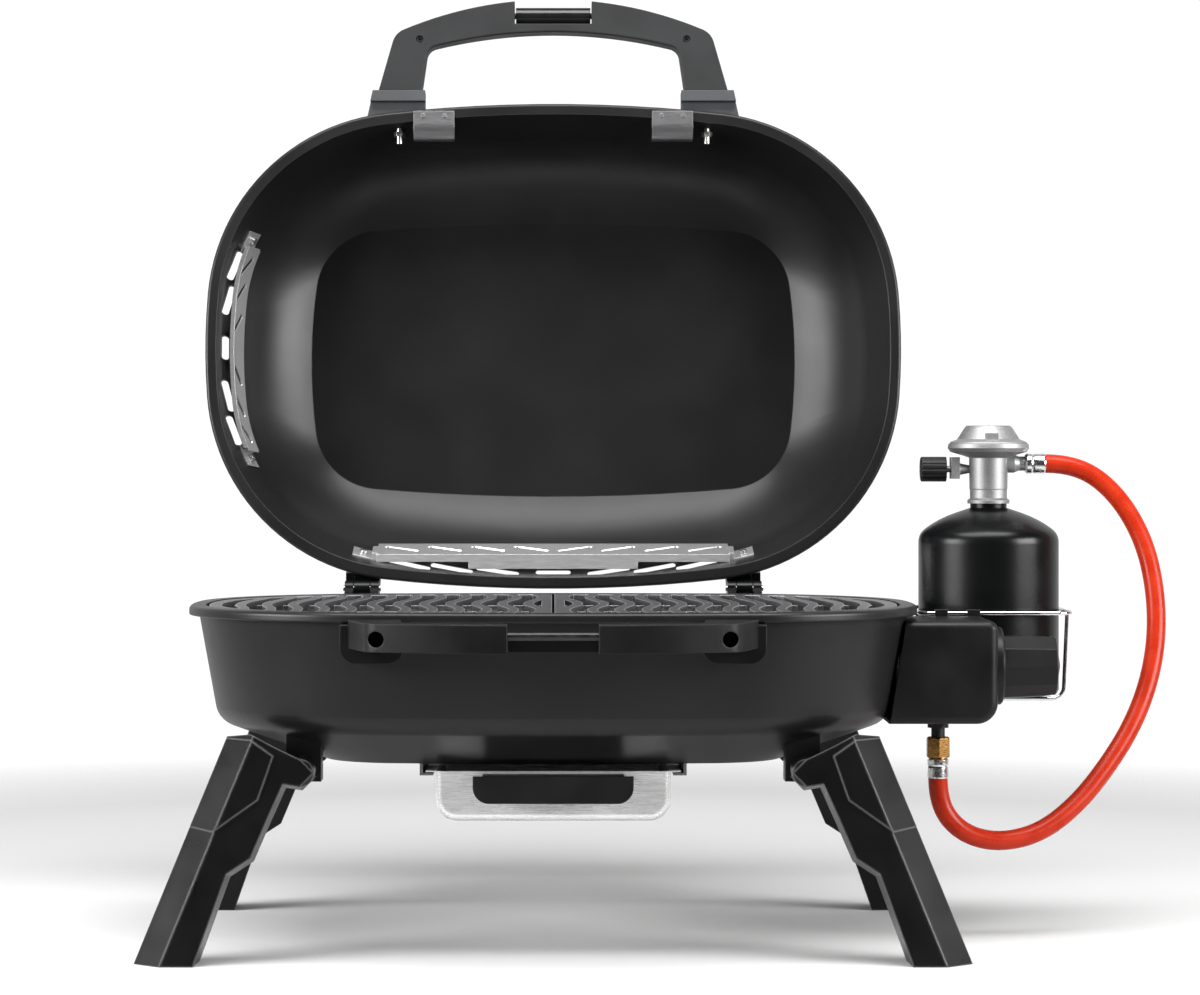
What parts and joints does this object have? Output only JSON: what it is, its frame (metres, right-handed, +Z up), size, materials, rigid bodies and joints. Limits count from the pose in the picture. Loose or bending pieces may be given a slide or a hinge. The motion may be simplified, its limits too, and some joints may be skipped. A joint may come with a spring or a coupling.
{
  "type": "portable gas grill",
  "caption": "Portable gas grill on folding splayed legs, with a hinged domed lid, a split carrying handle with a latch, a side gas cartridge, regulator and hose.",
  "frame": {"origin": "on the ground under the middle of the bounding box of everything but the hose and its fittings", "axes": "+X to the grill's right (gas side) as seen from the front, +Y to the back (hinge side), +Z up"},
  "size_m": [0.783, 0.631, 0.7456],
  "materials": {
    "black_enamel": "die-cast, satin black stove enamel",
    "grate_iron": "matt dark grey",
    "steel_bright": "bright rolled stainless",
    "steel_grey": "grey spring steel",
    "black_oxide": "blackened steel",
    "black_plastic": "black moulded, light satin",
    "handle_plastic": "dark grey heat-resistant moulding",
    "latch_plastic": "glossy black",
    "chrome_wire": "polished",
    "can_paint": "satin black lacquer",
    "cast_alloy": "die-cast, satin",
    "zinc_steel": "zinc plated",
    "brass": "machined",
    "ferrule_metal": "crimped and plated",
    "orange_rubber": "smooth orange-red",
    "black_rubber": "matt",
    "ceramic": "white glazed ceramic"
  },
  "bodies": {
    "frame": {"firebox": "black_enamel", "grate_left": "grate_iron", "grate_right": "grate_iron", "heat_plate": "steel_bright", "burner_tube": "steel_bright", "burner_bracket": "steel_grey", "igniter_electrode": "ceramic", "tray_rail_left": "steel_grey", "tray_rail_right": "steel_grey", "firebox_handle": "black_plastic", "handle_rod": "black_oxide", "handle_bracket_left": "black_plastic", "handle_bracket_right": "black_plastic", "handle_screws": "black_oxide", "control_box": "black_plastic", "control_box_bracket": "steel_grey", "knob_collar": "black_plastic", "valve_body": "brass", "gas_inlet": "black_oxide", "hose_nut": "brass", "hose_ferrule_bottom": "ferrule_metal", "hose_ferrule_top": "ferrule_metal", "gas_hose": "orange_rubber", "cartridge_cradle": "chrome_wire", "cradle_clips": "black_plastic", "gas_cartridge": "can_paint", "regulator_body": "cast_alloy", "regulator_cap": "cast_alloy", "regulator_diaphragm": "black_rubber", "lid_hinge_base_left": "can_paint", "lid_hinge_base_right": "can_paint", "lid_hinge_pins": "zinc_steel", "leg_bearings": "black_plastic", "leg_rods": "zinc_steel"},
    "lid": {"lid": "black_enamel", "lid_hinge_leaf_left": "can_paint", "lid_hinge_leaf_right": "can_paint", "lid_handle": "handle_plastic", "lid_handle_screws": "black_oxide", "latch_pin": "black_oxide", "lid_handle_base_left": "handle_plastic", "lid_handle_base_right": "handle_plastic", "handle_bolts": "zinc_steel", "lid_clips": "steel_grey", "vent_baffle_back": "steel_bright", "vent_baffle_side": "steel_bright", "vent_baffle_screws": "zinc_steel"},
    "latch": {"handle_latch": "latch_plastic"},
    "tray": {"drip_tray": "steel_bright", "drip_tray_handle": "black_plastic"},
    "knob_slide": {"stem_washer": "zinc_steel"},
    "knob": {"burner_knob": "black_plastic", "valve_stem": "zinc_steel"},
    "regulator_knob": {"regulator_knob": "black_plastic"},
    "leg_front_left": {"leg_front_left": "black_plastic"},
    "leg_front_right": {"leg_front_right": "black_plastic"},
    "leg_back_left": {"leg_back_left": "black_plastic"},
    "leg_back_right": {"leg_back_right": "black_plastic"}
  },
  "joints": [
    {"name": "lid_hinge", "type": "hinge", "parent": "frame", "child": "lid", "pos_m": [-0.04928, 0.1736, 0.2584], "axis": [1, 0, 0], "range_deg": [0, 95]},
    {"name": "latch_turn", "type": "hinge", "parent": "lid", "child": "latch", "pos_m": [-0.04928, 0.22484, 0.73394], "axis": [1, 0, 0], "range_deg": [0, 180]},
    {"name": "tray_slide", "type": "slide", "parent": "frame", "child": "tray", "axis": [0, 1, 0], "range_m": [-0.15, 0]},
    {"name": "knob_push", "type": "slide", "parent": "frame", "child": "knob_slide", "axis": [-1, 0, 0], "range_m": [0, 0.003], "stiffness_N_per_m": 800},
    {"name": "knob_turn", "type": "hinge", "parent": "knob_slide", "child": "knob", "pos_m": [0.31072, -0.0546, 0.208], "axis": [1, 0, 0], "range_deg": [0, 135]},
    {"name": "regulator_knob_turn", "type": "hinge", "parent": "frame", "child": "regulator_knob", "pos_m": [0.25072, 0.0474, 0.357], "axis": [1, 0, 0], "range_deg": [0, 300]},
    {"name": "leg_fold_front_left", "type": "hinge", "parent": "frame", "child": "leg_front_left", "pos_m": [-0.23328, -0.1776, 0.138], "axis": [0, -1, 0], "range_deg": [0, 112]},
    {"name": "leg_fold_front_right", "type": "hinge", "parent": "frame", "child": "leg_front_right", "pos_m": [0.13472, -0.1776, 0.138], "axis": [0, 1, 0], "range_deg": [0, 112]},
    {"name": "leg_fold_back_left", "type": "hinge", "parent": "frame", "child": "leg_back_left", "pos_m": [-0.23328, 0.1224, 0.138], "axis": [0, -1, 0], "range_deg": [0, 112]},
    {"name": "leg_fold_back_right", "type": "hinge", "parent": "frame", "child": "leg_back_right", "pos_m": [0.13472, 0.1224, 0.138], "axis": [0, 1, 0], "range_deg": [0, 112]}
  ]
}
